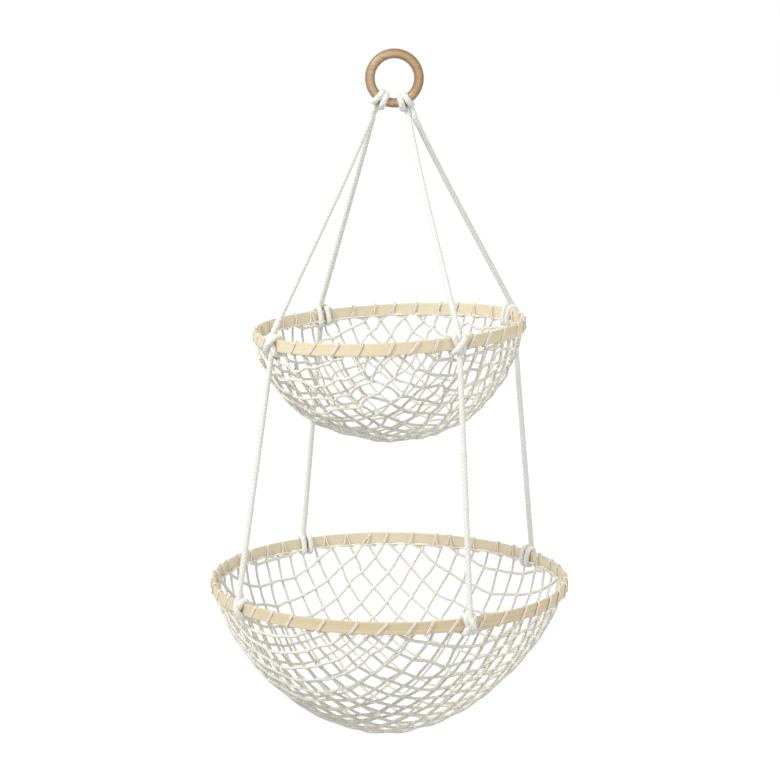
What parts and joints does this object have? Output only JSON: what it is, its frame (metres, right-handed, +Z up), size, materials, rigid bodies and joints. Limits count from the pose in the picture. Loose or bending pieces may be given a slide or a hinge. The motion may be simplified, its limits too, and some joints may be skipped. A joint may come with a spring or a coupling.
{
  "type": "hanging storage basket",
  "caption": "Hanging basket in two tiers: a wooden ring, knotted cotton ropes, and bamboo hoops with laced-in cotton net bowls, a small one over a large one.",
  "frame": {"origin": "inner top of the wooden ring's bore, in the middle of the bar, where a hook carries it", "axes": "+Z up, +X to the right and +Y to the back, with the ring's face turned to -Y"},
  "size_m": [0.4012, 0.4013, 0.7669],
  "materials": {
    "wooden_ring": "clear-coated beech with a soft sheen",
    "left_ring_knot": "matt undyed cotton rope, laid in three strands",
    "right_ring_knot": "matt undyed cotton rope, laid in three strands",
    "upper_cord_front_left": "matt undyed cotton rope, laid in three strands",
    "upper_cord_back_left": "matt undyed cotton rope, laid in three strands",
    "upper_cord_front_right": "matt undyed cotton rope, laid in three strands",
    "upper_cord_back_right": "matt undyed cotton rope, laid in three strands",
    "upper_knot_front_left": "matt undyed cotton rope, laid in three strands",
    "upper_knot_back_left": "matt undyed cotton rope, laid in three strands",
    "upper_knot_front_right": "matt undyed cotton rope, laid in three strands",
    "upper_knot_back_right": "matt undyed cotton rope, laid in three strands",
    "upper_hoop": "split bamboo with a faint natural sheen",
    "upper_lacing": "matt undyed cotton thread",
    "upper_net": "matt undyed cotton cord, knotted",
    "lower_cord_front_left": "matt undyed cotton rope, laid in three strands",
    "lower_cord_back_left": "matt undyed cotton rope, laid in three strands",
    "lower_cord_front_right": "matt undyed cotton rope, laid in three strands",
    "lower_cord_back_right": "matt undyed cotton rope, laid in three strands",
    "lower_knot_front_left": "matt undyed cotton rope, laid in three strands",
    "lower_knot_back_left": "matt undyed cotton rope, laid in three strands",
    "lower_knot_front_right": "matt undyed cotton rope, laid in three strands",
    "lower_knot_back_right": "matt undyed cotton rope, laid in three strands",
    "lower_hoop": "split bamboo with a faint natural sheen",
    "lower_lacing": "matt undyed cotton thread",
    "lower_net": "matt undyed cotton cord, knotted"
  },
  "bodies": {
    "ring": {"wooden_ring": "wooden_ring", "left_ring_knot": "left_ring_knot", "right_ring_knot": "right_ring_knot"},
    "upper_tier": {"upper_cord_front_left": "upper_cord_front_left", "upper_cord_back_left": "upper_cord_back_left", "upper_cord_front_right": "upper_cord_front_right", "upper_cord_back_right": "upper_cord_back_right", "upper_knot_front_left": "upper_knot_front_left", "upper_knot_back_left": "upper_knot_back_left", "upper_knot_front_right": "upper_knot_front_right", "upper_knot_back_right": "upper_knot_back_right", "upper_hoop": "upper_hoop", "upper_lacing": "upper_lacing", "upper_net": "upper_net"},
    "lower_cord_front_left": {"lower_cord_front_left": "lower_cord_front_left"},
    "lower_cord_back_left": {"lower_cord_back_left": "lower_cord_back_left"},
    "lower_cord_front_right": {"lower_cord_front_right": "lower_cord_front_right"},
    "lower_cord_back_right": {"lower_cord_back_right": "lower_cord_back_right"},
    "lower_tier": {"lower_knot_front_left": "lower_knot_front_left", "lower_knot_back_left": "lower_knot_back_left", "lower_knot_front_right": "lower_knot_front_right", "lower_knot_back_right": "lower_knot_back_right", "lower_hoop": "lower_hoop", "lower_lacing": "lower_lacing", "lower_net": "lower_net"}
  },
  "joints": [
    {"name": "fore_aft_swing", "type": "hinge", "parent": "ring", "child": "upper_tier", "pos_m": [0, 0, -0.0628], "axis": [1, 0, 0], "range_deg": [-20, 20]},
    {"name": "front_left_cord_sway", "type": "hinge", "parent": "upper_tier", "child": "lower_cord_front_left", "pos_m": [-0.13181, -0.08699, -0.31634], "axis": [0.2399, -0.9676, 0.0789], "range_deg": [-10.7, 10.7]},
    {"name": "back_left_cord_sway", "type": "hinge", "parent": "upper_tier", "child": "lower_cord_back_left", "pos_m": [-0.08298, 0.13258, -0.31397], "axis": [0.235, -0.955, -0.1809], "range_deg": [-10, 10]},
    {"name": "front_right_cord_sway", "type": "hinge", "parent": "upper_tier", "child": "lower_cord_front_right", "pos_m": [0.07178, -0.13311, -0.30644], "axis": [0.2552, -0.9491, 0.1844], "range_deg": [-10.7, 10.7]},
    {"name": "back_right_cord_sway", "type": "hinge", "parent": "upper_tier", "child": "lower_cord_back_right", "pos_m": [0.13716, 0.05757, -0.30319], "axis": [0.2993, -0.9363, -0.1839], "range_deg": [-10.7, 10.7]},
    {"name": "lower_tier_sway", "type": "hinge", "parent": "lower_cord_back_left", "child": "lower_tier", "pos_m": [-0.10434, 0.1757, -0.5694], "axis": [-0.1929, 0.9426, 0.2726], "range_deg": [-9, 9]}
  ],
  "couplings": [
    {"joint": "front_left_cord_sway", "follows": "back_left_cord_sway", "ratio": 1.0634},
    {"joint": "front_right_cord_sway", "follows": "back_left_cord_sway", "ratio": 1.0266},
    {"joint": "back_right_cord_sway", "follows": "back_left_cord_sway", "ratio": 0.9762},
    {"joint": "lower_tier_sway", "follows": "back_left_cord_sway", "ratio": 0.8034}
  ]
}
